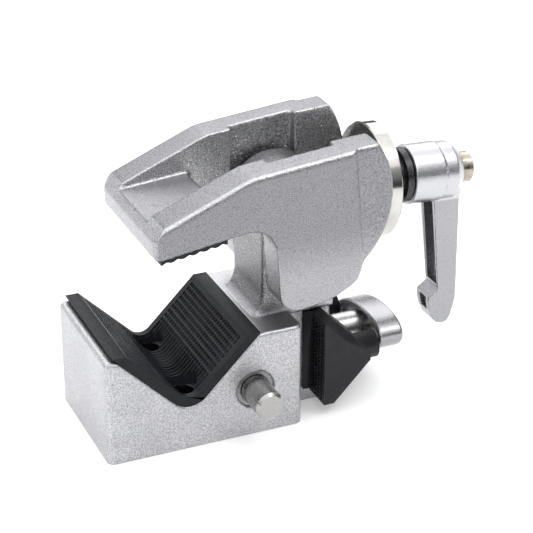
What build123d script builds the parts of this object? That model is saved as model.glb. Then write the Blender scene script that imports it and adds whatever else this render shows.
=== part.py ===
from build123d import *

import math
import os

# Super clamp: a cast block with a V groove and a hexagonal stud socket, a jaw that swings on a cross
# bar behind the stem, and a clamping screw that pushes the jaw's rear end. Millimetres.
# The origin is the centre of the stud socket's mouth, on the flat underside. +Z is up the stem, +X
# points from the jaws to the handle, and the model is symmetric about y = 0 apart from its pin and knobs.

# ---- driving dimensions -------------------------------------------------------------------------
BLOCK_FRONT_X = -60.0
BLOCK_REAR_X = 6.0
BLOCK_TOP_Z = 35.7
HALF_WIDTH = 23.35

GROOVE_X = -32.5
GROOVE_APEX_Z = 12.2
GROOVE_FILLET = 7.0
PAD_THICKNESS = 3.2
PAD_FRONT_PROUD = 1.6
PAD_REAR_PROUD = 0.4
PEG_HOLE_Y = 15.0
PEG_HOLE_R = 5.2
PEG_CUP_WALL = 0.5
PEG_CUP_LOW_Z = 8.8
PEG_CUP_HIGH_Z = 15.8
PEG_R = 4.5

STEM_FRONT_X = -3.4
STEM_LOW_Z = 34.4
STEM_REAR_X = 17.0
STEM_HALF_WIDTH = 12.4
FOOT_REAR_X = 21.4
FOOT_HALF_WIDTH = 10.6
HEAD_REAR_X = 17.8
HEAD_REAR_TOP_Z = 79.4

STUD_FLATS = 16.2
STUD_DEPTH = 30.0

RUNNING_GAP = 0.06
PIVOT_X = 9.0
PIVOT_Z = 51.0
PIVOT_BAR_R = 6.0

NUT_X = 7.0
NUT_Z = 72.0
NUT_R = 6.6
NUT_HALF_LENGTH = 12.0
SCREW_R = 4.5
SCREW_TILT = 2.5
SCREW_TAIL = -10.0
SCREW_SLOT_HALF_WIDTH = 5.2
SCREW_SLOT_HALF_HEIGHT = 6.5

JAW_HALF_WIDTH = 24.5
REAR_HALF_WIDTH = 22.9
JAW_SLOT_HALF_WIDTH = 13.0
JAW_SLOT_FRONT_X = -18.4
JAW_POCKET_HALF_WIDTH = 15.8
CHEEK_ARC_X = 6.25
CHEEK_ARC_Z = 75.7
CHEEK_ARC_R = 30.25
UPPER_PAD_HALF_WIDTH = 21.0
RIVET_X = -30.0
RIVET_Y = 8.0
RIVET_R = 1.4

DISC_FACE = 29.9
DISC_R = 19.0
DISC_THICKNESS = 5.2
WASHER_R = 11.0
WASHER_END = 36.3
COLLAR_R = 7.9
COLLAR_START = 36.4
COLLAR_END = 41.0
CORE_R = 3.9
CORE_END = 49.5
CORE_THREAD_R = 2.1

INSERT_START = 41.05
INSERT_FLANGE_R = 7.6
INSERT_FLANGE_END = 44.6
INSERT_RIM_R = 9.2
INSERT_RIM_START = 42.0
INSERT_RIM_END = 44.2
INSERT_ROOT_R = 5.5
INSERT_TOOTH = 1.0
INSERT_TEETH = 18
INSERT_END = 48.8
HUB_START = 44.4
HUB_R = 9.9
HUB_GROOVE = 56.0
HEAD_END = 63.9
RECESS_R = 6.8
RECESS_END = 50.6
LEVER_HOLE_R = 2.9
LEVER_SCREW_R = 2.8
SPRING_WELL_R = 5.3
SPRING_WELL_START = 52.4
SEAT_WASHER_R = 5.1
BUTTON_START = 60.9
BUTTON_END = 68.9
BUTTON_R = 5.15

PIN_X = -10.5
PIN_Z = 16.2
PIN_BORE_R = 6.2
PIN_BODY_R = 6.12
PIN_NOSE_R = 4.75
PIN_END_Y = -35.4
PIN_PLUG_Y = 20.35
PIN_PLUG_R = 7.2

LOCK_Z = 18.4
LOCK_R = 4.0
LOCK_COLLAR_R = 4.8
LOCK_KNOB_X = 36.1
LOCK_KNOB_LENGTH = 8.8
LOCK_KNOB_HALF_LONG = 17.5
LOCK_KNOB_HALF_SHORT = 7.4
LOCK_KNOB_TILT = -9.0
LOCK_KNOB_WALL = 1.5
LOCK_KNOB_HOLLOW = 2.5
LOCK_SQUARE = 5.0

WEDGE_FACE_X = 13.9
WEDGE_PLATE = 3.5
WEDGE_Z = 18.9
WEDGE_HALF_HEIGHT = 14.8
WEDGE_APEX_X = 30.3
WEDGE_APEX_HALF = 1.5
WEDGE_HALF_WIDTH = 22.4
WEDGE_LIP_X = 11.2
WEDGE_LIP_HALF_WIDTH = 12.0
WEDGE_PEG_X = 35.0
SLIDE_GAP = 0.35

os.makedirs("parts", exist_ok=True)


def box_between(low, high):
    """A box from its low corner to its high corner."""
    size = [h - l for l, h in zip(low, high)]
    middle = [(l + h) / 2 for l, h in zip(low, high)]
    return Pos(*middle) * Box(*size)


def rod_y(radius, x, z, y0, y1):
    """A cylinder along Y from y0 to y1."""
    return Pos(x, (y0 + y1) / 2, z) * Rot(90, 0, 0) * Cylinder(radius, abs(y1 - y0))


def rod_x(radius, y, z, x0, x1):
    """A cylinder along X from x0 to x1."""
    return Pos((x0 + x1) / 2, y, z) * Rot(0, 90, 0) * Cylinder(radius, abs(x1 - x0))


def rod_z(radius, x, y, z0, z1):
    """A cylinder along Z from z0 to z1."""
    return Pos(x, y, (z0 + z1) / 2) * Cylinder(radius, abs(z1 - z0))


def extrude_profile(points, half_width):
    """A prism across Y with the given (x, z) outline."""
    face = make_face(Plane.XZ * Polyline(*points, close=True))
    return extrude(face, amount=half_width, both=True)


# The clamping screw's own frame: local Z runs from the barrel nut out to the handle.
SCREW_FRAME = Location((NUT_X, 0, NUT_Z)) * Rot(0, 90 + SCREW_TILT, 0)


def on_screw(shape):
    """Place a shape made along local Z onto the clamping screw's axis."""
    return SCREW_FRAME * shape


def stack_rod(radius, start, end):
    """A cylinder on the clamping screw's axis, still in its local frame."""
    return rod_z(radius, 0, 0, start, end)


# ---- clamp body ---------------------------------------------------------------------------------
def groove_cutter(offset, top_z, fillet_r, half_width):
    """A prism that fills the V groove above walls raised by offset, with its bottom edge rounded."""
    apex = GROOVE_APEX_Z + offset * math.sqrt(2)
    rise = top_z - apex
    outline = [(GROOVE_X, apex), (GROOVE_X + rise, top_z), (GROOVE_X - rise, top_z)]
    prism = extrude_profile(outline, half_width)
    bottom = prism.edges().filter_by(Axis.Y).sort_by(Axis.Z)[0]
    return fillet(bottom, fillet_r)


def cast_block():
    """The block with its rounded corners and the V groove with chamfered rims."""
    block = box_between((BLOCK_FRONT_X, -HALF_WIDTH, 0), (BLOCK_REAR_X, HALF_WIDTH, BLOCK_TOP_Z))
    block = fillet(block.edges().filter_by(Axis.Z), 2.6)
    block = block - groove_cutter(0, BLOCK_TOP_Z + 10, GROOVE_FILLET, HALF_WIDTH + 2)
    rims = [edge for edge in block.edges() if edge.bounding_box().min.Z > BLOCK_TOP_Z - 0.01]
    return chamfer(rims, 0.8)


def cast_foot():
    """The narrow column under the stem that the wedge insert straddles."""
    foot = box_between((0, -FOOT_HALF_WIDTH, 0), (FOOT_REAR_X, FOOT_HALF_WIDTH, BLOCK_TOP_Z))
    return fillet(foot.edges().filter_by(Axis.Z).sort_by(Axis.X)[-2:], 1.5)


def cast_stem():
    """The stem with its flared front root, the step over the bar seat and the rounded head."""
    seat_low_z = PIVOT_Z - PIVOT_BAR_R - RUNNING_GAP
    root = (STEM_FRONT_X - 2.6, BLOCK_TOP_Z + 0.6)
    front = (STEM_FRONT_X, 43.2)
    head_front = (STEM_FRONT_X, 73.5)
    head_rear = (HEAD_REAR_X, HEAD_REAR_TOP_Z)
    with BuildSketch(Plane.XZ) as sketch:
        with BuildLine():
            Line((root[0], STEM_LOW_Z), root)
            TangentArc(front, root, tangent=(0, -1))
            Line(front, head_front)
            ThreePointArc(head_front, (4.5, 80.42), head_rear)
            Polyline(
                head_rear, (HEAD_REAR_X, 60), (STEM_REAR_X, 59), (STEM_REAR_X, PIVOT_Z),
                (FOOT_REAR_X, seat_low_z), (FOOT_REAR_X, STEM_LOW_Z), (root[0], STEM_LOW_Z),
            )
        make_face()
    stem = extrude(sketch.sketch, amount=STEM_HALF_WIDTH, both=True)
    front_edges = [
        edge
        for edge in stem.edges()
        if abs(abs(edge.center().Y) - STEM_HALF_WIDTH) < 0.01 and abs(edge.center().X - STEM_FRONT_X) < 0.01
    ]
    return fillet(front_edges, 1.6)


def hex_socket():
    """The stud socket: flats face front and rear."""
    hexagon = RegularPolygon(STUD_FLATS / 2, 6, major_radius=False)
    return extrude(Rot(0, 0, 30) * hexagon, amount=STUD_DEPTH)


def safety_pin_bore():
    """The cross bore, its snap ring groove and the wider seat of the far plug."""
    bore = rod_y(PIN_BORE_R, PIN_X, PIN_Z, -HALF_WIDTH - 5, PIN_PLUG_Y)
    groove = rod_y(PIN_BORE_R + 0.5, PIN_X, PIN_Z, -22.6, -21.5)
    seat = rod_y(PIN_PLUG_R, PIN_X, PIN_Z, PIN_PLUG_Y, HALF_WIDTH + 5)
    return bore + groove + seat


def stem_bores():
    """Room in the stem for the jaw's cross bar, the barrel nut and the screw that runs through it."""
    seat_r = PIVOT_BAR_R + RUNNING_GAP
    bar_seat = rod_y(seat_r, PIVOT_X, PIVOT_Z, -20, 20)
    seat_mouth = box_between((PIVOT_X, -20, PIVOT_Z - seat_r), (30, 20, PIVOT_Z + seat_r))
    nut_bore = rod_y(NUT_R + RUNNING_GAP, NUT_X, NUT_Z, -20, 20)
    screw_slot = box_between(
        (-20, -SCREW_SLOT_HALF_WIDTH, NUT_Z - SCREW_SLOT_HALF_HEIGHT),
        (30, SCREW_SLOT_HALF_WIDTH, NUT_Z + SCREW_SLOT_HALF_HEIGHT),
    )
    grease_hole = rod_z(1.6, NUT_X - 2.5, 0, NUT_Z, NUT_Z + 20)
    return bar_seat + seat_mouth + nut_bore + screw_slot + grease_hole


def clamp_body():
    body = cast_block() + cast_foot() + cast_stem()
    body = body - stem_bores() - hex_socket() - safety_pin_bore()
    body = body - rod_x(LOCK_R + RUNNING_GAP, 0, LOCK_Z, 0, FOOT_REAR_X + 5)
    for side in (-1, 1):
        body = body - rod_z(PEG_HOLE_R, GROOVE_X, side * PEG_HOLE_Y, PEG_CUP_LOW_Z, BLOCK_TOP_Z)
    return body


# ---- lower pad ----------------------------------------------------------------------------------
def lower_pad():
    front_top = BLOCK_TOP_Z + PAD_FRONT_PROUD
    rear_top = BLOCK_TOP_Z + PAD_REAR_PROUD
    fill = groove_cutter(0, front_top, GROOVE_FILLET, HALF_WIDTH - 0.15)
    hollow = groove_cutter(PAD_THICKNESS, front_top + 8, GROOVE_FILLET - PAD_THICKNESS + 0.6, HALF_WIDTH + 2)
    pad = fill - hollow - box_between((GROOVE_X, -HALF_WIDTH, rear_top), (0, HALF_WIDTH, front_top + 8))
    for side in (-1, 1):
        pad = pad - rod_z(PEG_HOLE_R, GROOVE_X, side * PEG_HOLE_Y, 0, BLOCK_TOP_Z)
    return pad


def peg_cups():
    """Two thin steel cups that line the peg holes and hold the pad at the groove's bottom."""
    cups = []
    for side in (-1, 1):
        y = side * PEG_HOLE_Y
        outer = rod_z(PEG_HOLE_R, GROOVE_X, y, PEG_CUP_LOW_Z, PEG_CUP_HIGH_Z)
        inner = rod_z(PEG_HOLE_R - PEG_CUP_WALL, GROOVE_X, y, PEG_CUP_LOW_Z + 0.6, BLOCK_TOP_Z)
        cups.append(outer - inner)
    return Compound(children=cups)


# ---- moving jaw ---------------------------------------------------------------------------------
def arc_point(angle):
    """A point of the cheeks' rear arc, at an angle above +X."""
    a = math.radians(angle)
    return (CHEEK_ARC_X + CHEEK_ARC_R * math.cos(a), CHEEK_ARC_Z + CHEEK_ARC_R * math.sin(a))


def cheek_face():
    """The cheek's outline: nose, sloping top, rear arc, lower lobe and the arch in front of it."""
    nose_top = [(-42.8, 67.1), (-43.3, 73.1), (-40.0, 77.7), (-14.8, 88.1), (-11.5, 89.3)]
    rear_top = arc_point(35)
    rear_low = arc_point(-50)
    lobe = [(24.2, 48.6), (22.4, 47.0), (16.2, 43.8), (10.2, 42.4), (4.3, 41.7)]
    with BuildSketch(Plane.XZ) as sketch:
        with BuildLine():
            Polyline(*nose_top, (19.6, 92.35), rear_top)
            ThreePointArc(rear_top, arc_point(-6), rear_low)
            Polyline(rear_low, *lobe)
            ThreePointArc(lobe[-1], (-0.4, 43.4), (-2.5, 48.1))
            Line((-2.5, 48.1), (-3.5, 63.1))
            ThreePointArc((-3.5, 63.1), (-6.2, 68.9), (-11.8, 71.4))
            Polyline((-11.8, 71.4), (-17.0, 70.9), nose_top[0])
        make_face()
    return sketch.sketch


def round_top_edges(casting, half_width, edge_r, low_x, high_x):
    """Rounds the casting's outer top edges between two X limits."""
    top_edges = [
        edge
        for edge in casting.edges()
        if abs(abs(edge.center().Y) - half_width) < 0.01
        and edge.center().Z > 76
        and low_x < edge.center().X < high_x
    ]
    return fillet(top_edges, edge_r)


def jaw_front(behind_step):
    """The wide front of the jaw, with rounded nose corners and bevelled ends at the step."""
    front = extrude(cheek_face(), amount=JAW_HALF_WIDTH, both=True) - behind_step
    step_edges = [
        edge
        for edge in front.edges()
        if abs(edge.center().Y) > JAW_HALF_WIDTH - 0.01 and edge.center().X > 21 and edge.length > 30
    ]
    front = chamfer(step_edges, JAW_HALF_WIDTH - REAR_HALF_WIDTH - 0.02)
    front = round_top_edges(front, JAW_HALF_WIDTH, 1.8, -60, 21)
    plan = box_between((-43.4, -JAW_HALF_WIDTH, 30), (60, JAW_HALF_WIDTH, 120))
    return front & fillet(plan.edges().filter_by(Axis.Z).sort_by(Axis.X)[:2], 3.4)


def jaw_casting():
    """The wide front of the jaw and the narrower rear of its cheeks, with a soft step between them."""
    behind_step = extrude_profile([(21.1, 120), (28.8, 30), (60, 30), (60, 120)], 40)
    rear = extrude(cheek_face(), amount=REAR_HALF_WIDTH, both=True)
    rear = round_top_edges(rear, REAR_HALF_WIDTH, 1.4, 25, 31)
    return jaw_front(behind_step) + (rear & behind_step)


def moving_jaw():
    slot = box_between((JAW_SLOT_FRONT_X, -JAW_SLOT_HALF_WIDTH, 30), (60, JAW_SLOT_HALF_WIDTH, 120))
    pocket = box_between((-3.2, -JAW_POCKET_HALF_WIDTH, 63), (18.6, JAW_POCKET_HALF_WIDTH, 120))
    pocket = fillet(pocket.edges().filter_by(Axis.Y).sort_by(Axis.Z)[:2], 6)
    tray_outline = [(-42.6, 75.6), (-18.0, 77.8), (-18.0, 110), (-60, 110), (-60, 75.0)]
    nose_tray = extrude_profile(tray_outline, JAW_SLOT_HALF_WIDTH)
    jaw = jaw_casting() - slot - pocket - nose_tray
    jaw = jaw + rod_y(PIVOT_BAR_R, PIVOT_X, PIVOT_Z, -JAW_SLOT_HALF_WIDTH - 1, JAW_SLOT_HALF_WIDTH + 1)
    for side in (-1, 1):
        jaw = jaw - rod_z(RIVET_R, RIVET_X, side * RIVET_Y, 60, 74.5)
    return jaw


# ---- upper pad ----------------------------------------------------------------------------------
def upper_pad():
    outline = [(-40.2, 66.6), (-18.6, 69.9), (-18.6, 67.6), (-40.2, 64.4)]
    pad = extrude_profile(outline, UPPER_PAD_HALF_WIDTH)
    for side in (-1, 1):
        pad = pad - rod_z(RIVET_R, RIVET_X, side * RIVET_Y, 60, 74.5)
    return pad


def upper_pad_rivets():
    rivets = [rod_z(RIVET_R, RIVET_X, side * RIVET_Y, 66.0, 73.5) for side in (-1, 1)]
    return Compound(children=rivets)


# ---- barrel nut and clamping screw --------------------------------------------------------------
def barrel_nut():
    nut = rod_y(NUT_R, NUT_X, NUT_Z, -NUT_HALF_LENGTH, NUT_HALF_LENGTH)
    nut = chamfer(nut.edges(), 0.5)
    return nut - on_screw(stack_rod(SCREW_R + RUNNING_GAP, -20, 20))


def clamp_screw():
    shank = stack_rod(SCREW_R, SCREW_TAIL, COLLAR_END)
    shank = chamfer(shank.edges().sort_by(Axis.Z)[0], 1.0)
    collar = stack_rod(COLLAR_R, COLLAR_START, COLLAR_END)
    core = stack_rod(CORE_R, COLLAR_END - 1, CORE_END)
    bore = stack_rod(CORE_THREAD_R, COLLAR_END + 2, CORE_END + 1)
    return on_screw(shank + collar + core - bore)


def thrust_disc():
    disc = stack_rod(DISC_R, DISC_FACE, DISC_FACE + DISC_THICKNESS)
    disc = chamfer(disc.edges(), 0.45)
    return on_screw(disc - stack_rod(SCREW_R + RUNNING_GAP, 0, 60))


def thrust_washer():
    washer = stack_rod(WASHER_R, DISC_FACE + DISC_THICKNESS, WASHER_END)
    return on_screw(washer - stack_rod(SCREW_R + RUNNING_GAP, 0, 60))


# ---- handle -------------------------------------------------------------------------------------
def lever_insert():
    """The steel insert fixed on the screw, with short drive teeth inside the lever's hub."""
    flange = stack_rod(INSERT_FLANGE_R, INSERT_START, INSERT_FLANGE_END)
    flange = flange + stack_rod(INSERT_RIM_R, INSERT_RIM_START, INSERT_RIM_END)
    splines = stack_rod(INSERT_ROOT_R, INSERT_FLANGE_END - 0.5, INSERT_END)
    tooth_height = INSERT_END - INSERT_FLANGE_END
    for n in range(INSERT_TEETH):
        tooth = Pos(INSERT_ROOT_R, 0, INSERT_FLANGE_END + tooth_height / 2) * Box(INSERT_TOOTH, 0.9, tooth_height)
        splines = splines + Rot(0, 0, n * 360 / INSERT_TEETH) * tooth
    return on_screw(flange + splines - stack_rod(CORE_R, INSERT_START - 1, INSERT_END + 1))


def lever():
    hub = stack_rod(HUB_R, HUB_START, HUB_GROOVE)
    hub = chamfer(hub.edges().sort_by(Axis.Z)[0], 0.5, 1.4)
    head = stack_rod(HUB_R - 0.35, HUB_GROOVE - 0.5, HEAD_END)
    head = chamfer(head.edges().sort_by(Axis.Z)[-1], 3.4, 3.0)
    groove = stack_rod(HUB_R + 1, HUB_GROOVE - 0.2, HUB_GROOVE + 0.25) - stack_rod(HUB_R - 0.8, HUB_START, HEAD_END)
    body = hub + head - groove + lever_arm()
    mouth = stack_rod(HUB_R - 1.6, HUB_START - 1, HUB_START + 1.8)
    drive_recess = stack_rod(RECESS_R, HUB_START - 1, RECESS_END)
    shank_hole = stack_rod(LEVER_HOLE_R, HUB_START, HEAD_END + 10)
    spring_well = stack_rod(SPRING_WELL_R, SPRING_WELL_START, HEAD_END + 10)
    return on_screw(body - mouth - drive_recess - shank_hole - spring_well)


def lever_arm():
    """The arm hangs from the hub, leaning slightly outward, with a hollow back and a solid foot."""
    side = [
        (53.6, 0.0), (63.9, 0.0), (63.7, -10.0), (65.3, -33.8), (66.1, -45.8), (64.9, -52.2), (64.0, -54.3),
        (62.4, -55.0), (59.8, -54.6), (58.2, -53.2), (56.7, -50.0), (55.8, -46.6), (55.8, -44.4),
        (59.0, -41.9), (54.3, -9.0),
    ]
    face = make_face(Polyline(*[(0, drop, reach) for reach, drop in side], close=True))
    slab = extrude(face, amount=9.0, dir=(1, 0, 0), both=True)
    taper = loft(
        [
            Pos(0, 1, 59) * Rot(90, 0, 0) * Rectangle(11.0, 30),
            Pos(0, -60, 59) * Rot(90, 0, 0) * Rectangle(8.2, 30),
        ]
    )
    channel = box_between((-3.4, -40.4, 40), (3.4, -9.5, 61.8))
    pocket = box_between((-2.3, -49.9, 50), (2.3, -45.2, 59.0))
    return Rot(0, 0, 90) * ((slab & taper) - channel - pocket)


def seat_washer():
    """The spring's small washer at the bottom of the lever's well."""
    washer = stack_rod(SEAT_WASHER_R, SPRING_WELL_START, SPRING_WELL_START + 0.6)
    return on_screw(washer - stack_rod(LEVER_SCREW_R, SPRING_WELL_START - 1, SPRING_WELL_START + 2))


def coil_spring(wire_r, coil_r, turns, height):
    """A round wire coil along local Z that starts at z = 0."""
    path = Helix(pitch=height / turns, height=height, radius=coil_r)
    section = Plane(origin=path @ 0, z_dir=path % 0) * Circle(wire_r)
    return sweep(section, path=path, is_frenet=True)


def lever_spring():
    start = SPRING_WELL_START + 0.6 + 0.6
    height = BUTTON_START - 0.65 - start
    return on_screw(Pos(0, 0, start) * coil_spring(0.5, 4.1, 4, height))


def lever_screw():
    thread = stack_rod(CORE_THREAD_R, COLLAR_END + 2.4, CORE_END + 0.6)
    shank = stack_rod(LEVER_SCREW_R, CORE_END, BUTTON_START + 0.5)
    button = stack_rod(BUTTON_R, BUTTON_START, BUTTON_END)
    button = chamfer(button.edges().sort_by(Axis.Z)[-1], 0.8)
    socket = extrude(RegularPolygon(2.5, 6, major_radius=False), amount=3.0)
    return on_screw(thread + shank + button - Pos(0, 0, BUTTON_END - 2.8) * socket)


# ---- safety pin ---------------------------------------------------------------------------------
def safety_pin():
    nose = rod_y(PIN_NOSE_R, PIN_X, PIN_Z, PIN_END_Y, -21.2)
    nose = chamfer(nose.edges().sort_by(Axis.Y)[0], 0.9)
    body = rod_y(PIN_BODY_R, PIN_X, PIN_Z, -21.3, 4.5)
    tail = rod_y(2.6, PIN_X, PIN_Z, 4.4, 9.0)
    waist = rod_y(10, PIN_X, PIN_Z, -17.5, -3.0) - rod_y(2.4, PIN_X, PIN_Z, -17.5, -3.0)
    return nose + body + tail - waist


def safety_pin_ring():
    return rod_y(PIN_BORE_R + 0.45, PIN_X, PIN_Z, -22.5, -21.6) - rod_y(5.0, PIN_X, PIN_Z, -30, -10)


def safety_pin_spring():
    return Pos(PIN_X, 5.2, PIN_Z) * Rot(-90, 0, 0) * coil_spring(0.55, 4.4, 5, 14.4)


def safety_pin_plug():
    plug = rod_y(PIN_PLUG_R, PIN_X, PIN_Z, PIN_PLUG_Y, HALF_WIDTH - 0.2)
    slot = box_between((PIN_X - 6, HALF_WIDTH - 1.4, PIN_Z - 0.8), (PIN_X + 6, HALF_WIDTH + 2, PIN_Z + 0.8))
    return plug - slot


# ---- stud lock ----------------------------------------------------------------------------------
def lock_tip():
    return rod_x(LOCK_R - 0.1, 0, LOCK_Z, 7.9, 12.8)


def lock_screw():
    thread = rod_x(LOCK_R, 0, LOCK_Z, 12.82, 22)
    square_x = LOCK_KNOB_X + LOCK_KNOB_HOLLOW
    collar = rod_x(LOCK_COLLAR_R, 0, LOCK_Z, 21.6, square_x)
    square = Pos(square_x + 1.8, 0, LOCK_Z) * Box(3.8, LOCK_SQUARE, LOCK_SQUARE)
    tapped = rod_x(1.5, 0, LOCK_Z, square_x - 4, square_x + 8)
    return thread + collar + square - tapped


def lock_knob():
    """An oval knob with a hollow back, held on the lock screw's square end by a small screw."""
    knob = extrude(Plane.YZ * Ellipse(LOCK_KNOB_HALF_LONG, LOCK_KNOB_HALF_SHORT), amount=LOCK_KNOB_LENGTH)
    knob = chamfer(knob.edges(), 0.6)
    inner = Ellipse(LOCK_KNOB_HALF_LONG - LOCK_KNOB_WALL, LOCK_KNOB_HALF_SHORT - LOCK_KNOB_WALL)
    knob = Rot(LOCK_KNOB_TILT, 0, 0) * (knob - extrude(Plane.YZ * inner, amount=LOCK_KNOB_HOLLOW))
    square_hole = Pos(4.4, 0, 0) * Box(4.0, LOCK_SQUARE + 0.04, LOCK_SQUARE + 0.04)
    head_recess = rod_x(3.4, 0, 0, 6.3, 20)
    return Pos(LOCK_KNOB_X + 0.02, 0, LOCK_Z) * (knob - square_hole - head_recess)


def lock_knob_screw():
    head = rod_x(3.2, 0, LOCK_Z, LOCK_KNOB_X + 6.5, LOCK_KNOB_X + 8.3)
    shank = rod_x(1.45, 0, LOCK_Z, LOCK_KNOB_X - 1.3, LOCK_KNOB_X + 6.7)
    hexagon = extrude(RegularPolygon(1.25, 6, major_radius=False), amount=1.4, both=True)
    socket = Pos(LOCK_KNOB_X + 8.1, 0, LOCK_Z) * Rot(0, 90, 0) * hexagon
    return head + shank - socket


# ---- wedge insert -------------------------------------------------------------------------------
def wedge_insert():
    """The plastic wedge: a textured plate, lips beside the foot, a 90 degree nose and two pegs."""
    plate_x = WEDGE_FACE_X + WEDGE_PLATE
    low_z = WEDGE_Z - WEDGE_HALF_HEIGHT
    high_z = WEDGE_Z + WEDGE_HALF_HEIGHT
    outline = [
        (WEDGE_FACE_X, low_z),
        (plate_x, low_z),
        (WEDGE_APEX_X, WEDGE_Z - WEDGE_APEX_HALF),
        (WEDGE_APEX_X, WEDGE_Z + WEDGE_APEX_HALF),
        (plate_x, high_z),
        (WEDGE_FACE_X, high_z),
    ]
    wedge = extrude_profile(outline, WEDGE_HALF_WIDTH)
    wedge = wedge + box_between(
        (WEDGE_LIP_X, -WEDGE_LIP_HALF_WIDTH, low_z + 1.1), (plate_x, WEDGE_LIP_HALF_WIDTH, high_z)
    )
    for side in (-1, 1):
        wedge = wedge + rod_x(PEG_R, side * PEG_HOLE_Y, WEDGE_Z, WEDGE_APEX_X - 6, WEDGE_PEG_X)
    foot_gap = FOOT_HALF_WIDTH + SLIDE_GAP
    shaft_gap = LOCK_COLLAR_R + 0.15
    foot_slot = box_between((0, -foot_gap, -5), (FOOT_REAR_X + 0.5, foot_gap, 60))
    shaft_slot = rod_x(shaft_gap, 0, LOCK_Z, 0, 60)
    shaft_mouth = box_between((0, -shaft_gap, LOCK_Z), (60, shaft_gap, 60))
    return wedge - foot_slot - shaft_slot - shaft_mouth


NODES = {
    "clamp_body": clamp_body,
    "lower_pad": lower_pad,
    "peg_cups": peg_cups,
    "moving_jaw": moving_jaw,
    "upper_pad": upper_pad,
    "upper_pad_rivets": upper_pad_rivets,
    "barrel_nut": barrel_nut,
    "clamp_screw": clamp_screw,
    "thrust_disc": thrust_disc,
    "thrust_washer": thrust_washer,
    "lever_insert": lever_insert,
    "lever": lever,
    "seat_washer": seat_washer,
    "lever_spring": lever_spring,
    "lever_screw": lever_screw,
    "safety_pin": safety_pin,
    "safety_pin_ring": safety_pin_ring,
    "safety_pin_spring": safety_pin_spring,
    "safety_pin_plug": safety_pin_plug,
    "lock_tip": lock_tip,
    "lock_screw": lock_screw,
    "lock_knob": lock_knob,
    "lock_knob_screw": lock_knob_screw,
    "wedge_insert": wedge_insert,
}

for name, make in NODES.items():
    export_step(make(), f"parts/{name}.step")
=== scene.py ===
import math

import bmesh
import bpy
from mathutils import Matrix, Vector


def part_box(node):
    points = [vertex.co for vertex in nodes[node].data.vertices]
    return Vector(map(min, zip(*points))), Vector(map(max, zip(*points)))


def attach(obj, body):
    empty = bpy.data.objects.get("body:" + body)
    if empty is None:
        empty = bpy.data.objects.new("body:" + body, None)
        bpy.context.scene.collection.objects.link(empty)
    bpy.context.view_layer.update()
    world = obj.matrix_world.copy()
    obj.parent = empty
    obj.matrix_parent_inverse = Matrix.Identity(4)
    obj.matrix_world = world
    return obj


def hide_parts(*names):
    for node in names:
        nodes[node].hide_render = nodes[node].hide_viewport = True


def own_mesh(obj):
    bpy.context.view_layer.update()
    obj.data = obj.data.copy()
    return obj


# Super clamp looks. Metres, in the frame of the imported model.
MM = 0.001

# ---- places repeated from the part's source -----------------------------------------------------
GROOVE_X = -32.5 * MM
PAD_APEX_Z = 16.73 * MM
PAD_BOTTOM_Z = 12.25 * MM
PAD_INNER_FILLET = 4.4 * MM
PAD_OUTER_FILLET = 6.95 * MM
PAD_FRONT_TOP_Z = 37.3 * MM
PAD_REAR_TOP_Z = 36.1 * MM
PAD_HALF_WIDTH = 23.15 * MM
PEG_HOLE_Y = 15.0 * MM
PEG_HOLE_R = 5.2 * MM
SCREW_ORIGIN = Vector((7.0, 0.0, 72.0)) * MM
SCREW_TILT = math.radians(2.5)
SCREW_AXIS = Vector((math.cos(SCREW_TILT), 0.0, -math.sin(SCREW_TILT)))
WEDGE_FACE_X = 13.9 * MM
WEDGE_LOW_Z = 4.1 * MM
WEDGE_HIGH_Z = 33.7 * MM
WEDGE_BORDER = 1.4 * MM
UPPER_PAD_FRONT_TOP_Z = 66.6 * MM
UPPER_PAD_REAR_UNDER_Z = 67.6 * MM
RIVET_X = -30.0 * MM
RIVET_Y = 8.0 * MM
RIVET_R = 1.4 * MM

# ---- visible detail -----------------------------------------------------------------------------
RIB_DEPTH = 0.95 * MM
CROSS_RIB_PITCH = 1.9 * MM
SLOPE_RIB_PITCH = 1.75 * MM
PAD_TOP_BORDER = 1.7 * MM
PAD_SIDE_BORDER = 2.0 * MM
WAFFLE_ROWS = 9
HOLLOW = "hollow"
PLAIN_SHADE = 0.55
RIB_EDGE = 0.46
RIB_FLANK = 0.24
PAD_CELL = 0.29 * MM
PAD_BACK_CELL = 3.0 * MM
TOOTH_PITCH = 3.6 * MM
TOOTH_DEPTH = 0.5 * MM
TOOTH_SHARPNESS = 1.5
TOOTH_STEPS = 96
DIMPLE_COLUMNS = 4
DIMPLE_FIRST_Y = 13.5 * MM
DIMPLE_PITCH_Y = 2.15 * MM
DIMPLE_PITCH_Z = 1.28 * MM
DIMPLE_WIDTH = 1.55 * MM
DIMPLE_HEIGHT = 0.88 * MM
DIMPLE_DEPTH = 1.5 * MM
THREAD_PITCH = 3.0 * MM
THREAD_DEPTH = 0.75 * MM
THREAD_CREST = 0.64
THREAD_FLANK = 0.28
THREAD_START = -10.0 * MM
THREAD_END = 34.0 * MM
THREAD_CELL = 0.2 * MM
THREAD_LEAD_IN = 1.0 * MM
LEAD_IN_DEPTH = 0.9 * MM
DEEPEST_CUT = 1.4 * MM
SCREW_COLUMNS = 64
SCREW_R = 4.5 * MM
# Distance along the screw and radius, in millimetres: shank, collar, core and the core's tapped hole.
SCREW_PROFILE_MM = (
    (34.6, 4.5), (36.4, 4.5), (36.4, 7.6), (36.7, 7.9), (40.7, 7.9),
    (41.0, 7.6), (41.0, 3.9), (49.5, 3.9), (49.5, 2.1), (43.0, 2.1),
)

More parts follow.
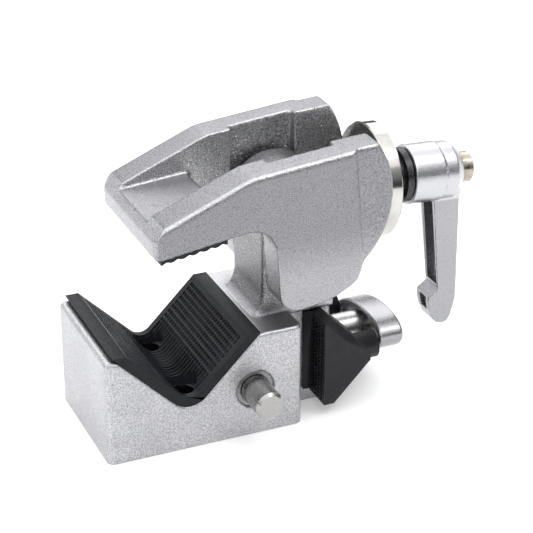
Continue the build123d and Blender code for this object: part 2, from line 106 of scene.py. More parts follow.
# ---- finish, painted shade and painted highlights -----------------------------------------------
# Edge colour of the castings: partly worn metal, partly a painted highlight.
EDGE_WEAR_AND_HIGHLIGHT = (0.86, 0.86, 0.87)
STEM_SHADE_START_Z = 35.9 * MM
STEM_SHADE_FULL_Z = 38.5 * MM
# Where the outer cheeks get painted shade, and the heights between which it goes from painted light low down
# to painted shade higher up.
CHEEK_SHADE_START_Y = 20.0 * MM
CHEEK_SHADE_FULL_Y = 21.5 * MM
CHEEK_PAINTED_LIGHT_Z = 50.0 * MM
CHEEK_PAINTED_SHADE_Z = 68.0 * MM
# Side walls inside this distance are painted lighter as painted highlight.
SLOT_WALL_Y = 15.9 * MM
SLOT_WALL_END_Y = 16.2 * MM
# The hub within this radius of the screw is painted brighter as painted highlight.
HUB_SHEEN_R = 9.95 * MM
HUB_SHEEN_END_R = 10.4 * MM
SCRATCH_RELIEF = 0.004 * MM
WELD_DISTANCE = 0.002 * MM

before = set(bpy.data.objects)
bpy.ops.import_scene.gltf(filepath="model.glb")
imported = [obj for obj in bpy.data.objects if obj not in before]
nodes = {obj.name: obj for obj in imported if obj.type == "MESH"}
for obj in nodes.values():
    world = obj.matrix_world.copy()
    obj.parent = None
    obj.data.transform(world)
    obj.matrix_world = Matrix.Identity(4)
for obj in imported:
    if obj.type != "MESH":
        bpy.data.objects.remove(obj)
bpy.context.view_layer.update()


# ---- material helpers ---------------------------------------------------------------------------
class Paint:
    """One procedural material, with short calls for the fields that drive its shader."""

    def __init__(self, name, metallic):
        self.material = bpy.data.materials.new(name)
        self.material.use_nodes = True
        self.tree = self.material.node_tree
        self.shader = self.tree.nodes["Principled BSDF"]
        self.shader.inputs["Metallic"].default_value = metallic
        coordinates = self.add("ShaderNodeTexCoord")
        self.place = coordinates.outputs["Object"]
        self.facing = coordinates.outputs["Normal"]
        self.normal = None

    def add(self, kind, **settings):
        node = self.tree.nodes.new(kind)
        for name, value in settings.items():
            setattr(node, name, value)
        return node

    def link(self, source, target):
        self.tree.links.new(source, target)

    def math(self, operation, first, second=None):
        """The result of a math node; each operand is a number or another node's output."""
        node = self.add("ShaderNodeMath", operation=operation)
        for socket, operand in zip(node.inputs, (first, second)):
            if operand is None:
                continue
            if isinstance(operand, (int, float)):
                socket.default_value = operand
            else:
                self.link(operand, socket)
        return node.outputs[0]

    def noise(self, grain, detail=3.0, stretch=(1, 1, 1)):
        """Noise whose grains are about this many metres across, longer where stretch is below 1."""
        mapping = self.add("ShaderNodeMapping")
        mapping.inputs["Scale"].default_value = stretch
        self.link(self.place, mapping.inputs["Vector"])
        noise = self.add("ShaderNodeTexNoise")
        noise.inputs["Scale"].default_value = 1 / grain
        noise.inputs["Detail"].default_value = detail
        self.link(mapping.outputs["Vector"], noise.inputs["Vector"])
        return noise.outputs["Fac"]

    def spread(self, field, low, high, start=0.3, end=0.7):
        """The field's start..end range mapped to low..high."""
        node = self.add("ShaderNodeMapRange", interpolation_type="SMOOTHSTEP")
        for name, value in (("From Min", start), ("From Max", end), ("To Min", low), ("To Max", high)):
            node.inputs[name].default_value = value
        self.link(field, node.inputs["Value"])
        return node.outputs["Result"]

    def blend(self, factor, first, second):
        """A colour mixed from two others, each a tuple or a node's output."""
        node = self.add("ShaderNodeMix", data_type="RGBA")
        self.link(factor, node.inputs["Factor"])
        for socket, colour in ((node.inputs[6], first), (node.inputs[7], second)):
            if isinstance(colour, tuple):
                socket.default_value = (*colour, 1)
            else:
                self.link(colour, socket)
        return node.outputs[2]

    def colour(self, source):
        self.link(source, self.shader.inputs["Base Color"])

    def colour_so_far(self):
        return self.shader.inputs["Base Color"].links[0].from_socket

    def roughness(self, source):
        self.link(source, self.shader.inputs["Roughness"])

    def bump(self, field, height):
        """Adds relief of this height in metres to the relief so far."""
        node = self.add("ShaderNodeBump")
        node.inputs["Strength"].default_value = 1.0
        node.inputs["Distance"].default_value = height
        self.link(field, node.inputs["Height"])
        if self.normal is not None:
            self.link(self.normal, node.inputs["Normal"])
        self.normal = node.outputs["Normal"]
        self.link(self.normal, self.shader.inputs["Normal"])

    def edge_mask(self, radius):
        """Near 1 within this distance of a sharp edge, and 0 on flat faces."""
        bevel = self.add("ShaderNodeBevel", samples=6)
        bevel.inputs["Radius"].default_value = radius
        plain = self.add("ShaderNodeNewGeometry").outputs["Normal"]
        dot = self.add("ShaderNodeVectorMath", operation="DOT_PRODUCT")
        self.link(bevel.outputs["Normal"], dot.inputs[0])
        self.link(plain, dot.inputs[1])
        return self.spread(dot.outputs["Value"], 1.0, 0.0, 0.80, 0.995)

    def split(self, vector):
        """X, Y and Z of a vector output."""
        node = self.add("ShaderNodeSeparateXYZ")
        self.link(vector, node.inputs["Vector"])
        return node.outputs

    def radius_about_screw(self):
        """The distance from the clamping screw's axis."""
        offset = self.add("ShaderNodeVectorMath", operation="SUBTRACT")
        offset.inputs[1].default_value = SCREW_ORIGIN
        self.link(self.place, offset.inputs[0])
        cross = self.add("ShaderNodeVectorMath", operation="CROSS_PRODUCT")
        cross.inputs[1].default_value = SCREW_AXIS
        self.link(offset.outputs["Vector"], cross.inputs[0])
        length = self.add("ShaderNodeVectorMath", operation="LENGTH")
        self.link(cross.outputs["Vector"], length.inputs[0])
        return length.outputs["Value"]


# ---- materials ----------------------------------------------------------------------------------
def cast_aluminium(name, dark, light, grain, relief, rough):
    """Sand cast aluminium: two sizes of grain, small pits, soft blotches and edges painted bright, partly
    worn metal and partly a painted highlight.
    """
    paint = Paint(name, 1.0)
    fine = paint.noise(grain, 4)
    coarse = paint.noise(grain * 2.6, 2)
    blotch = paint.noise(11 * MM, 2)
    pits = paint.spread(paint.noise(grain * 1.9, 1), 0, 1, 0.60, 0.72)
    skin = paint.blend(paint.spread(fine, 0, 1, 0.40, 0.60), dark, light)
    skin = paint.blend(paint.spread(blotch, 0.0, 0.22, 0.35, 0.65), skin, dark)
    # Edges painted bright: partly worn metal, partly a painted highlight.
    edges = paint.math("MULTIPLY", paint.edge_mask(0.7 * MM), 0.75)
    paint.colour(paint.blend(edges, skin, EDGE_WEAR_AND_HIGHLIGHT))
    matt = paint.spread(fine, rough - 0.09, rough + 0.09)
    paint.roughness(paint.math("SUBTRACT", matt, paint.math("MULTIPLY", edges, 0.16)))
    paint.bump(coarse, relief * 0.9)
    paint.bump(fine, relief)
    paint.bump(pits, -relief * 0.7)
    return paint


def block_metal():
    """The body's casting, smoother on the block, with painted shade darkening the stem upward from the
    block.
    """
    paint = cast_aluminium("block_cast", (0.33, 0.33, 0.345), (0.58, 0.58, 0.60), 0.34 * MM, 0.08 * MM, 0.36)
    skin = paint.colour_so_far()
    # Painted shade: the stem is painted darker upward from the block.
    stem = paint.spread(paint.split(paint.place)["Z"], 0.0, 0.75, STEM_SHADE_START_Z, STEM_SHADE_FULL_Z)
    speckle = paint.spread(paint.noise(0.5 * MM, 4), 0, 1, 0.38, 0.62)
    paint.colour(paint.blend(stem, skin, paint.blend(speckle, (0.04, 0.04, 0.045), (0.26, 0.26, 0.27))))
    return paint.material


def jaw_metal():
    """The jaw's casting, speckled: painted shade on the tops and outer cheeks, paler low on the cheeks as
    painted light, and painted highlights on the slot walls, fillets and edges.
    """
    paint = cast_aluminium("jaw_cast", (0.27, 0.27, 0.285), (0.50, 0.50, 0.52), 0.40 * MM, 0.12 * MM, 0.34)
    skin = paint.colour_so_far()
    place = paint.split(paint.place)
    facing = paint.split(paint.facing)
    fine = paint.spread(paint.noise(0.42 * MM, 4), 0, 1, 0.36, 0.64)
    # Painted shade: faces that look up are painted darker.
    top = paint.spread(facing["Z"], 0.0, 0.85, 0.72, 0.90)
    skin = paint.blend(top, skin, paint.blend(fine, (0.19, 0.19, 0.205), (0.26, 0.26, 0.275)))
    # Painted shade: the outer cheek faces are painted darker, most near the top, and paler low down as
    # painted light.
    across = paint.math("ABSOLUTE", place["Y"])
    sideways = paint.spread(paint.math("ABSOLUTE", facing["Y"]), 0.0, 1.0, 0.6, 0.95)
    far_out = paint.spread(across, 0.0, 0.8, CHEEK_SHADE_START_Y, CHEEK_SHADE_FULL_Y)
    outside = paint.math("MULTIPLY", far_out, sideways)
    grain = paint.spread(paint.noise(0.34 * MM, 3), 0, 1, 0.28, 0.72)
    shaded_upper_cheek = paint.blend(grain, (0.10, 0.10, 0.11), (0.30, 0.30, 0.315))
    lit_lower_cheek = paint.blend(grain, (0.23, 0.23, 0.24), (0.46, 0.46, 0.475))
    height = paint.spread(place["Z"], 1, 0, CHEEK_PAINTED_LIGHT_Z, CHEEK_PAINTED_SHADE_Z)
    skin = paint.blend(outside, skin, paint.blend(height, shaded_upper_cheek, lit_lower_cheek))
    # Painted highlight: the side walls inside the slot are painted lighter.
    far_in = paint.spread(across, 0.9, 0.0, SLOT_WALL_Y, SLOT_WALL_END_Y)
    inside = paint.math("MULTIPLY", far_in, sideways)
    skin = paint.blend(inside, skin, paint.blend(fine, (0.34, 0.34, 0.35), (0.80, 0.80, 0.81)))
    # Painted highlight: faces sloping between side and top, the fillet bands, are painted lighter.
    steep = paint.spread(paint.math("ABSOLUTE", facing["Y"]), 0.0, 1.0, 0.22, 0.62)
    rising = paint.spread(facing["Z"], 0.0, 1.0, 0.15, 0.55)
    rim = paint.blend(fine, (0.40, 0.40, 0.41), (0.60, 0.60, 0.61))
    skin = paint.blend(paint.math("MULTIPLY", steep, rising), skin, rim)
    # Painted highlight: a bright band along the jaw's edges.
    edges = paint.math("MULTIPLY", paint.edge_mask(1.0 * MM), 0.45)
    paint.colour(paint.blend(edges, skin, (0.88, 0.88, 0.89)))
    return paint.material


def lever_metal():
    """Die cast zinc with a fine satin skin, edges painted bright (partly wear, partly painted highlight) and
    the hub painted brighter as a painted sheen.
    """
    paint = cast_aluminium("lever_cast", (0.29, 0.29, 0.30), (0.38, 0.38, 0.395), 0.24 * MM, 0.02 * MM, 0.30)
    skin = paint.colour_so_far()
    # Painted highlight: the hub round the screw is painted brighter.
    hub = paint.spread(paint.radius_about_screw(), 1, 0, HUB_SHEEN_R, HUB_SHEEN_END_R)
    paint.colour(paint.blend(hub, skin, (0.50, 0.50, 0.52)))
    return paint.material


def turned_nickel():
    """Polished nickel with fine turning rings about the clamping screw."""
    paint = Paint("turned_nickel", 1.0)
    rings = paint.add("ShaderNodeTexNoise", noise_dimensions="1D")
    rings.inputs["Scale"].default_value = 1 / (0.16 * MM)
    rings.inputs["Detail"].default_value = 2
    paint.link(paint.radius_about_screw(), rings.inputs["W"])
    film = paint.noise(7 * MM, 2)
    paint.colour(paint.blend(paint.spread(film, 0, 1), (0.46, 0.45, 0.42), (0.54, 0.53, 0.51)))
    paint.roughness(paint.spread(rings.outputs["Fac"], 0.07, 0.20))
    paint.bump(rings.outputs["Fac"], SCRATCH_RELIEF)
    return paint.material


def brushed_steel(name, dark, light, stretch, rough):
    """Satin zinc plate with drawn scratches along one direction."""
    paint = Paint(name, 1.0)
    scratches = paint.noise(0.22 * MM, 3, stretch)
    film = paint.noise(5 * MM, 3)
    base = paint.blend(paint.spread(scratches, 0, 1), dark, light)
    paint.colour(paint.blend(paint.spread(film, 0.0, 0.3), base, dark))
    paint.roughness(paint.spread(scratches, rough - 0.08, rough + 0.10))
    paint.bump(scratches, SCRATCH_RELIEF)
    return paint.material


def warm_nickel():
    """The button's nickel plate, slightly yellow, with a soft haze."""
    paint = Paint("warm_nickel", 1.0)
    film = paint.noise(1.5 * MM, 3)
    paint.colour(paint.blend(paint.spread(film, 0, 1), (0.30, 0.26, 0.21), (0.46, 0.41, 0.35)))
    paint.roughness(paint.spread(film, 0.16, 0.30))
    paint.bump(paint.noise(0.3 * MM, 2), 0.006 * MM)
    return paint.material


def cups_with_painted_shade():
    """Plated cups painted near black as the shade inside their holes, with a painted highlight on the rim.
    """
    paint = Paint("cups_with_painted_shade", 1.0)
    # Painted shade inside the cups and a painted highlight at their rim.
    film = paint.blend(paint.spread(paint.noise(1.2 * MM, 3), 0, 1), (0.05, 0.05, 0.05), (0.14, 0.13, 0.12))
    paint.colour(paint.blend(paint.edge_mask(0.25 * MM), film, (0.75, 0.75, 0.75)))
    paint.roughness(paint.spread(paint.noise(0.4 * MM, 2), 0.25, 0.45))
    paint.bump(paint.noise(0.3 * MM, 2), 0.01 * MM)
    return paint.material


def brass():
    paint = Paint("brass", 1.0)
    film = paint.noise(1.6 * MM, 3)
    paint.colour(paint.blend(paint.spread(film, 0, 1), (0.60, 0.43, 0.20), (0.80, 0.62, 0.33)))
    paint.roughness(paint.spread(film, 0.24, 0.38))
    paint.bump(paint.noise(0.2 * MM, 2, (1, 0.1, 0.1)), 0.01 * MM)
    return paint.material


def pad_rubber():
    """Slate grey moulded rubber, dusty in places, its hollows painted dark as shade and its rib edges
    painted paler, partly rubbed wear and partly painted highlight.
    """
    paint = Paint("pad_rubber", 0.0)
    mottle = paint.spread(paint.noise(2.6 * MM, 4), 0, 1)
    base = paint.blend(mottle, (0.011, 0.012, 0.016), (0.020, 0.022, 0.028))
    # Painted shade: the hollows between the ribs, the plain border and the back are painted darker.
    hollow = paint.add("ShaderNodeAttribute", attribute_name=HOLLOW).outputs["Fac"]
    base = paint.blend(hollow, base, (0.0015, 0.0015, 0.002))
    # Rib edges painted paler: partly rubbed wear, partly a painted highlight.
    rub_and_highlight = paint.math("MULTIPLY", paint.edge_mask(0.25 * MM), 0.35)
    paint.colour(paint.blend(rub_and_highlight, base, (0.055, 0.060, 0.070)))
    paint.roughness(paint.spread(paint.noise(0.5 * MM, 3), 0.42, 0.60))
    paint.shader.inputs["Specular IOR Level"].default_value = 0.22
    paint.bump(paint.noise(0.14 * MM, 3), 0.012 * MM)
    return paint.material


def wedge_plastic():
    """Black moulded plastic with a fine spark eroded skin."""
    paint = Paint("wedge_plastic", 0.0)
    mottle = paint.spread(paint.noise(3.5 * MM, 3), 0, 1)
    base = paint.blend(mottle, (0.006, 0.006, 0.0075), (0.010, 0.010, 0.012))
    # Edges painted paler: partly rubbed wear, partly a painted highlight.
    rub_and_highlight = paint.math("MULTIPLY", paint.edge_mask(0.35 * MM), 0.5)
    paint.colour(paint.blend(rub_and_highlight, base, (0.040, 0.041, 0.046)))
    paint.roughness(paint.spread(paint.noise(0.3 * MM, 3), 0.42, 0.60))
    paint.shader.inputs["Specular IOR Level"].default_value = 0.32
    paint.bump(paint.noise(0.18 * MM, 4), 0.02 * MM)
    return paint.material


# ---- mesh helpers -------------------------------------------------------------------------------
def new_piece(name, points, faces, smooth_angle=math.radians(35)):
    """A mesh object from points and faces, shaded smooth below the given angle."""
    mesh = bpy.data.meshes.new(name)
    mesh.from_pydata([tuple(p) for p in points], [], faces)
    mesh.validate()
    tidy = bmesh.new()
    tidy.from_mesh(mesh)
    bmesh.ops.recalc_face_normals(tidy, faces=tidy.faces)
    tidy.to_mesh(mesh)
    tidy.free()
    piece = bpy.data.objects.new(name, mesh)
    bpy.context.collection.objects.link(piece)
    shade(piece, smooth_angle)
    return piece


def copy_of(name, node):
    """A new piece with a CAD node's mesh."""
    piece = bpy.data.objects.new(name, nodes[node].data.copy())
    bpy.context.collection.objects.link(piece)
    return piece


def weld(piece):
    """Joins the split corners of an imported mesh."""
    modifier = piece.modifiers.new("weld", "WELD")
    modifier.merge_threshold = WELD_DISTANCE


def shade(piece, angle):
    """Smooth shading with sharp edges above the angle."""
    mesh = piece.data
    mesh.polygons.foreach_set("use_smooth", [True] * len(mesh.polygons))
    mesh.set_sharp_from_angle(angle=angle)


def grid_faces(rows, columns, closed=False):
    """Quads between consecutive rows of points; closed also joins the last column to the first."""
    faces = []
    for i in range(rows - 1):
        for j in range(columns if closed else columns - 1):
            k = (j + 1) % columns
            faces.append((i * columns + j, i * columns + k, (i + 1) * columns + k, (i + 1) * columns + j))
    return faces


def prism_points(corners, low, high, place):
    """The corners of a small prism: the outline at low, then at high, each placed in the frame."""
    return [place(a, b, level) for level in (low, high) for a, b in corners]


def prism_faces(count, start):
    """A closed prism's faces, for the points that prism_points made."""
    low = list(range(start, start + count))
    high = list(range(start + count, start + 2 * count))
    sides = [(low[i - 1], low[i], high[i], high[i - 1]) for i in (*range(1, count), 0)]
    return sides + [tuple(reversed(low)), tuple(high)]


def prisms(name, outlines, low, high, place):
    """One hidden mesh of many prisms, used to cut holes."""
    points = []
    faces = []
    for outline in outlines:
        faces += prism_faces(len(outline), len(points))
        points += prism_points(outline, low, high, place)
    return new_piece(name, points, faces)


def circle(centre, radius, count=40):
    return [
        (centre[0] + radius * math.cos(turn), centre[1] + radius * math.sin(turn))
        for turn in (2 * math.pi * i / count for i in range(count))
    ]


def rectangle(centre, width, height):
    corners = ((-0.5, -0.5), (0.5, -0.5), (0.5, 0.5), (-0.5, 0.5))
    return [(centre[0] + a * width, centre[1] + b * height) for a, b in corners]


def apply_modifiers(piece):
    """Makes the piece's mesh what its modifiers show, and drops them."""
    bpy.context.view_layer.update()
    evaluated = piece.evaluated_get(bpy.context.evaluated_depsgraph_get())
    mesh = bpy.data.meshes.new_from_object(evaluated)
    piece.modifiers.clear()
    piece.data = mesh


def cut(piece, cutter):
    """Cuts the cutter's shape out of the piece for good and removes the cutter."""
    boolean = piece.modifiers.new("cut", "BOOLEAN")
    boolean.operation = "DIFFERENCE"
    boolean.object = cutter
    boolean.solver = "MANIFOLD"
    apply_modifiers(piece)
    bpy.data.objects.remove(cutter)


def paint_piece(piece, material):
    piece.data.materials.clear()
    piece.data.materials.append(material)


def mark_hollows(piece, depths):
    """Stores how hollow each point is, from 0 to 1, which the rubber's colour turns into painted shade."""
    attribute = piece.data.attributes.new(HOLLOW, "FLOAT", "POINT")
    attribute.data.foreach_set("value", depths)


# ---- lower pad ----------------------------------------------------------------------------------
def v_line(apex_z, fillet, top_front, top_rear, step):
    """Points (x, z, nx, nz, depth down its slope) along a rounded V, from the front rim to the rear rim."""
    slope = math.sin(math.radians(45))
    tangent_length = fillet * math.tan(math.radians(22.5))
    reach = tangent_length * slope
    front_length = (top_front - apex_z) / slope - tangent_length
    rear_length = (top_rear - apex_z) / slope - tangent_length
    line = []
    count = round(front_length / step)
    for i in range(count):
        down = front_length * i / count
        rise = reach + (front_length - down) * slope
        line.append((GROOVE_X - rise, apex_z + rise, slope, slope, down))
    centre_z = apex_z + fillet / slope
    arc_steps = max(6, round(fillet * math.pi / 2 / step))
    for i in range(arc_steps + 1):
        angle = math.radians(225) + math.pi / 2 * i / arc_steps
        nx, nz = math.cos(angle), math.sin(angle)
        line.append((GROOVE_X + fillet * nx, centre_z + fillet * nz, -nx, -nz, front_length))
    count = round(rear_length / step)
    for i in range(1, count + 1):
        up = rear_length * i / count
        rise = reach + up * slope
        line.append((GROOVE_X + rise, apex_z + rise, -slope, slope, rear_length - up))
    return line


def rib(distance, pitch):
    """1 on a rib and 0 between ribs, with steep rounded flanks."""
    phase = abs((distance / pitch) % 1 - 0.5) * 2
    return min(1.0, max(0.0, (phase - RIB_EDGE) / RIB_FLANK))


def on_ribs(down, across):
    """Whether a place on the pad lies inside its plain border."""
    return down >= PAD_TOP_BORDER and abs(across) <= PAD_HALF_WIDTH - PAD_SIDE_BORDER


def pad_height(down, across):
    """How far the pad's surface lies below its rib tops."""
    if not on_ribs(down, across):
        return 0.0
    row = down - PAD_TOP_BORDER
    down_rib = rib(across, SLOPE_RIB_PITCH)
    cross_rib = rib(row, CROSS_RIB_PITCH) if row < WAFFLE_ROWS * CROSS_RIB_PITCH else 0.0
    return -RIB_DEPTH * (1 - max(down_rib, cross_rib))


def lower_pad():
    """The V pad: waffle ribs on the upper slopes, plain ribs round the bottom, and two peg holes."""
    top = v_line(PAD_APEX_Z, PAD_INNER_FILLET, PAD_FRONT_TOP_Z, PAD_REAR_TOP_Z, PAD_CELL)
    columns = round(2 * PAD_HALF_WIDTH / PAD_CELL) + 1
    across = [PAD_HALF_WIDTH * (2 * j / (columns - 1) - 1) for j in range(columns)]
    points = []
    depths = []
    for x, z, nx, nz, down in top:
        for y in across:
            height = pad_height(down, y)
            points.append((x + nx * height, y, z + nz * height))
            depths.append(-height / RIB_DEPTH if on_ribs(down, y) else PLAIN_SHADE)
    back = v_line(PAD_BOTTOM_Z, PAD_OUTER_FILLET, PAD_FRONT_TOP_Z, PAD_REAR_TOP_Z, PAD_BACK_CELL)
    for x, z, *_ in reversed(back):
        points += [(x, y, z) for y in across]
    rows = len(top) + len(back)
    faces = grid_faces(rows, columns)
    faces += [((rows - 1) * columns + j, (rows - 1) * columns + j + 1, j + 1, j) for j in range(columns - 1)]
    for j in (0, columns - 1):
        rim = [i * columns + j for i in range(rows)]
        faces.append(tuple(rim if j else reversed(rim)))
    pad = new_piece("ribbed_pad", points, faces, math.radians(50))
    mark_hollows(pad, depths + [PLAIN_SHADE] * (len(points) - len(depths)))
    holes = [circle((GROOVE_X, side * PEG_HOLE_Y), PEG_HOLE_R) for side in (-1, 1)]
    cut(pad, prisms("peg_cutter", holes, 5 * MM, 45 * MM, lambda x, y, z: (x, y, z)))
    shade(pad, math.radians(50))
    return pad


# ---- upper pad ----------------------------------------------------------------------------------
def upper_pad():
    """The jaw's pad, with rounded teeth across its underside and open rivet holes."""
    low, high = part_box("upper_pad")
    upper = []
    under = []
    for i in range(TOOTH_STEPS + 1):
        share = i / TOOTH_STEPS
        x = low.x + (high.x - low.x) * share
        wave = 0.5 - 0.5 * math.cos(2 * math.pi * (x - low.x) / TOOTH_PITCH)
        upper.append((x, UPPER_PAD_FRONT_TOP_Z + (high.z - UPPER_PAD_FRONT_TOP_Z) * share))
        under_z = low.z + (UPPER_PAD_REAR_UNDER_Z - low.z) * share
        under.append((x, under_z + TOOTH_DEPTH * wave**TOOTH_SHARPNESS))
    outline = upper + under[::-1]
    points = prism_points(outline, low.y, high.y, lambda x, z, y: (x, y, z))
    pad = new_piece("toothed_pad", points, prism_faces(len(outline), 0))
    holes = [circle((RIVET_X, side * RIVET_Y), RIVET_R) for side in (-1, 1)]
    cut(pad, prisms("rivet_cutter", holes, 60 * MM, 75 * MM, lambda x, y, z: (x, y, z)))
    shade(pad, math.radians(35))
    return pad


# ---- wedge insert -------------------------------------------------------------------------------
def dimple_rows():
    """Centres (y, z) of the grip dimples on both wings of the wedge's plate."""
    centres = []
    rows = int((WEDGE_HIGH_Z - WEDGE_LOW_Z - 2 * WEDGE_BORDER) / DIMPLE_PITCH_Z) + 1
    for side in (-1, 1):
        for column in range(DIMPLE_COLUMNS):
            y = side * (DIMPLE_FIRST_Y + column * DIMPLE_PITCH_Y)
            centres += [(y, WEDGE_LOW_Z + WEDGE_BORDER + row * DIMPLE_PITCH_Z) for row in range(rows)]
    return centres


def wedge_insert():
    """The wedge, copied from its CAD node, with small grip dimples in the plate's face."""
    wedge = copy_of("dimpled_wedge", "wedge_insert")
    weld(wedge)
    holes = [rectangle(centre, DIMPLE_WIDTH, DIMPLE_HEIGHT) for centre in dimple_rows()]
    outside = WEDGE_FACE_X - 1 * MM
    bottom = WEDGE_FACE_X + DIMPLE_DEPTH
    cut(wedge, prisms("dimple_cutter", holes, outside, bottom, lambda y, z, x: (x, y, z)))
    shade(wedge, math.radians(30))
    return wedge


# ---- clamping screw -----------------------------------------------------------------------------
def thread_depth(along, turn):
    """Depth of a trapezoidal thread at a distance along the screw and a turn angle."""
    phase = abs((along / THREAD_PITCH - turn / (2 * math.pi)) % 1 - 0.5) * 2
    return THREAD_DEPTH * min(1.0, max(0.0, (THREAD_CREST - phase) / THREAD_FLANK))


def clamp_screw():
    """The screw with its modelled thread, the collar and the core that carries the handle's insert."""
    count = round((THREAD_END - THREAD_START) / THREAD_CELL)
    length = THREAD_END - THREAD_START
    rows = [(THREAD_START + length * i / count, SCREW_R, True) for i in range(count + 1)]
    rows += [(along * MM, radius * MM, False) for along, radius in SCREW_PROFILE_MM]
    side = Vector((0, 1, 0))
    up = SCREW_AXIS.cross(side)
    points = []
    for along, radius, threaded in rows:
        lead_in = LEAD_IN_DEPTH * max(0.0, 1 - (along - THREAD_START) / THREAD_LEAD_IN)
        for j in range(SCREW_COLUMNS):
            turn = 2 * math.pi * j / SCREW_COLUMNS
            depth = min(DEEPEST_CUT, thread_depth(along, turn) + lead_in) if threaded else 0.0
            spoke = side * math.cos(turn) + up * math.sin(turn)
            points.append(SCREW_ORIGIN + SCREW_AXIS * along + spoke * (radius - depth))
    faces = grid_faces(len(rows), SCREW_COLUMNS, closed=True)
    faces.append(tuple(reversed(range(SCREW_COLUMNS))))
    faces.append(tuple((len(rows) - 1) * SCREW_COLUMNS + j for j in range(SCREW_COLUMNS)))
    return new_piece("threaded_screw", points, faces, math.radians(40))


# ---- castings -----------------------------------------------------------------------------------
def softened(name, node, voxel, rounds):
    """A copy of a CAD node whose edges are all softened the way a casting's are."""
    piece = copy_of(name, node)
    weld(piece)
    remesh = piece.modifiers.new("remesh", "REMESH")
    remesh.mode = "VOXEL"
    remesh.voxel_size = voxel
    smooth = piece.modifiers.new("smooth", "SMOOTH")
    smooth.factor = 0.5
    smooth.iterations = rounds
    apply_modifiers(piece)
    shade(piece, math.radians(60))
    return piece


def cast_body():
    return softened("cast_body", "clamp_body", 0.45 * MM, 5)


def cast_jaw():
    return softened("cast_jaw", "moving_jaw", 0.45 * MM, 12)


def cast_lever():
    return softened("cast_lever", "lever", 0.24 * MM, 4)


def cast_knob():
    return softened("cast_knob", "lock_knob", 0.28 * MM, 4)


# ---- springs ------------------------------------------------------------------------------------
def spring(name, node, body, wire):
    """A coil copied from its CAD node, painted with the wire and carried by the given body."""
    piece = copy_of(name, node)
    paint_piece(piece, wire)
    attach(piece, body)
    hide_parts(node)
    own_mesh(piece)


def springs(wire):
    spring(
        "pin_coil", "safety_pin_spring", "body",
        wire,
    )
    spring(
        "lever_coil", "lever_spring", "screw",
        wire,
    )


# ---- CAD nodes ----------------------------------------------------------------------------------
def dress_cad_nodes():
    """Materials for every CAD node that is shown; the ones that other pieces share are returned."""
    turned = turned_nickel()
    along_y = brushed_steel("steel_along_y", (0.34, 0.335, 0.33), (0.42, 0.41, 0.40), (1, 0.04, 1), 0.24)
    round_x = brushed_steel("steel_round_x", (0.44, 0.44, 0.44), (0.52, 0.52, 0.51), (1, 0.2, 0.2), 0.34)
    wire = brushed_steel("spring_wire", (0.16, 0.16, 0.17), (0.34, 0.34, 0.35), (1, 1, 1), 0.34)
    black = brushed_steel("black_oxide", (0.035, 0.035, 0.038), (0.085, 0.085, 0.09), (1, 0.3, 0.3), 0.32)
    finishes = {
        "thrust_disc": turned, "thrust_washer": turned, "lever_screw": warm_nickel(), "seat_washer": turned,
        "lever_insert": black, "lock_screw": round_x, "lock_knob_screw": round_x,
        "barrel_nut": along_y, "safety_pin": along_y, "safety_pin_plug": along_y, "peg_cups": cups_with_painted_shade(),
        "upper_pad_rivets": along_y, "safety_pin_ring": wire,
        "lock_tip": brass(),
    }
    for name, material in finishes.items():
        paint_piece(nodes[name], material)
    return black, wire


def place_pieces(screw_steel):
    """Adds the detailed pieces in place of the plain CAD nodes."""
    rubber = pad_rubber()
    lever_skin = lever_metal()
    for make, body, node, slot, material in (
        (cast_body, "body", "clamp_body", "cast_aluminium", block_metal()),
        (cast_jaw, "jaw", "moving_jaw", "cast_aluminium", jaw_metal()),
        (cast_lever, "lever", "lever", "die_cast_lever", lever_skin),
        (cast_knob, "lock", "lock_knob", "die_cast_lever", lever_skin),
        (lower_pad, "body", "lower_pad", "pad_rubber", rubber),
        (upper_pad, "jaw", "upper_pad", "pad_rubber", rubber),
        (wedge_insert, "wedge", "wedge_insert", "wedge_plastic", wedge_plastic()),
        (clamp_screw, "screw", "clamp_screw", "black_oxide_steel", screw_steel),
    ):
        piece = make()
        paint_piece(piece, material)
        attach(piece, body)
        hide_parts(node)


# ---- studio -------------------------------------------------------------------------------------
def floor():
    """A plain pale floor, large enough to fill the view, that also glows faintly: painted light that lifts
    its shadows and lights the clamp from below.
    """
    half = 6.0
    corners = [(x * half, y * half, 0) for x, y in ((-1, -1), (1, -1), (1, 1), (-1, 1))]
    plane = new_piece("floor", corners, [(0, 1, 2, 3)])
    paint = Paint("floor_paint", 0.0)
    tone = paint.noise(0.9, 2)
    paint.colour(paint.blend(paint.spread(tone, 0, 1), (0.86, 0.86, 0.86), (0.88, 0.88, 0.88)))
    paint.shader.inputs["Roughness"].default_value = 0.9
    paint.shader.inputs["Specular IOR Level"].default_value = 0.0
    # Painted light: the floor glows faintly, which lifts the shadows on it.
    paint.shader.inputs["Emission Color"].default_value = (1.0, 1.0, 1.0, 1)
    paint.shader.inputs["Emission Strength"].default_value = 0.22
    paint_piece(plane, paint.material)


def softbox(name, direction, distance, size, power):
    """A rectangular lamp that faces the clamp from the given direction."""
    data = bpy.data.lights.new(name, "AREA")
    data.shape = "RECTANGLE"
    data.size, data.size_y = size
    data.energy = power
    lamp = bpy.data.objects.new(name, data)
    aim = Vector(direction).normalized()
    lamp.location = Vector((0, 0, 0.045)) + aim * distance
    lamp.rotation_euler = aim.to_track_quat("Z", "Y").to_euler()
    bpy.context.collection.objects.link(lamp)


def overhead():
    """A very broad, even light from above and the left, which keeps the floor white."""
    data = bpy.data.lights.new("overhead", "SUN")
    data.energy = 2.2
    data.angle = math.radians(120)
    lamp = bpy.data.objects.new("overhead", data)
    lamp.rotation_euler = Vector((-0.35, -0.2, 1.0)).to_track_quat("Z", "Y").to_euler()
    bpy.context.collection.objects.link(lamp)


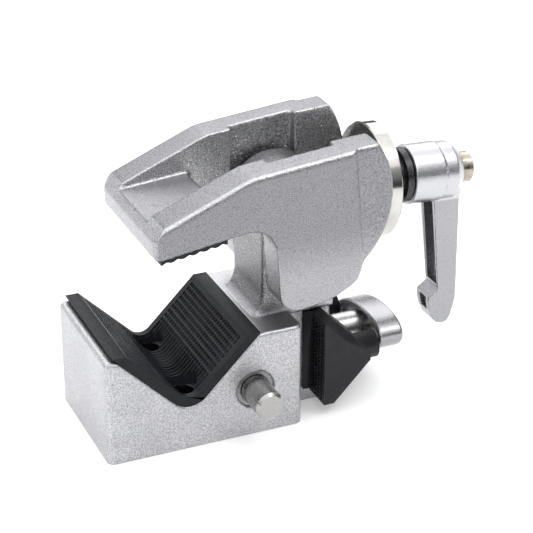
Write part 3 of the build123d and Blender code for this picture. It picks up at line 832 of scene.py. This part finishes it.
def room():
    """The studio's walls and ceiling: dim near the floor and pale above, seen as plain white."""
    world = bpy.data.worlds.new("room")
    world.use_nodes = True
    tree = world.node_tree
    wall = tree.nodes["Background"]
    direction = tree.nodes.new("ShaderNodeTexCoord").outputs["Generated"]
    split = tree.nodes.new("ShaderNodeSeparateXYZ")
    tree.links.new(direction, split.inputs["Vector"])
    rise = tree.nodes.new("ShaderNodeMapRange")
    for name, value in (("From Min", 0.12), ("From Max", 0.75), ("To Min", 0.06), ("To Max", 0.88)):
        rise.inputs[name].default_value = value
    tree.links.new(split.outputs["Z"], rise.inputs["Value"])
    tree.links.new(rise.outputs["Result"], wall.inputs["Strength"])
    wall.inputs["Color"].default_value = (0.97, 0.98, 1.0, 1)
    backdrop = tree.nodes.new("ShaderNodeBackground")
    backdrop.inputs["Color"].default_value = (1.0, 1.0, 1.0, 1)
    seen = tree.nodes.new("ShaderNodeLightPath").outputs["Is Camera Ray"]
    mix = tree.nodes.new("ShaderNodeMixShader")
    tree.links.new(seen, mix.inputs["Fac"])
    tree.links.new(wall.outputs["Background"], mix.inputs[1])
    tree.links.new(backdrop.outputs["Background"], mix.inputs[2])
    tree.links.new(mix.outputs["Shader"], tree.nodes["World Output"].inputs["Surface"])
    bpy.context.scene.world = world


def studio():
    bpy.context.scene.view_settings.view_transform = "Standard"
    room()
    overhead()
    softbox("back", (0.36, 0.82, 0.62), 1.3, (1.3, 0.9), 7.5)
    softbox("left", (-1.0, 0.15, 0.55), 1.1, (0.5, 0.8), 0.5)
    softbox("front_top", (0.36, -0.40, 0.81), 1.2, (0.55, 0.22), 2.2)
    softbox("back_left", (-0.50, 0.84, 0.24), 1.2, (0.6, 0.35), 1.2)


def camera():
    """The photographer's place and a lens that fills the frame with the clamp."""
    data = bpy.data.cameras.new("camera")
    data.lens = 122.4
    data.sensor_width = 36
    data.clip_start = 0.02
    eye = bpy.data.objects.new("camera", data)
    eye.location = (-0.2049, -0.4790, 0.3049)
    eye.rotation_euler = (math.radians(63.65), 0, math.radians(-23.49))
    bpy.context.collection.objects.link(eye)
    bpy.context.scene.camera = eye


black_steel, spring_wire = dress_cad_nodes()
place_pieces(black_steel)
springs(spring_wire)
floor()
studio()
camera()
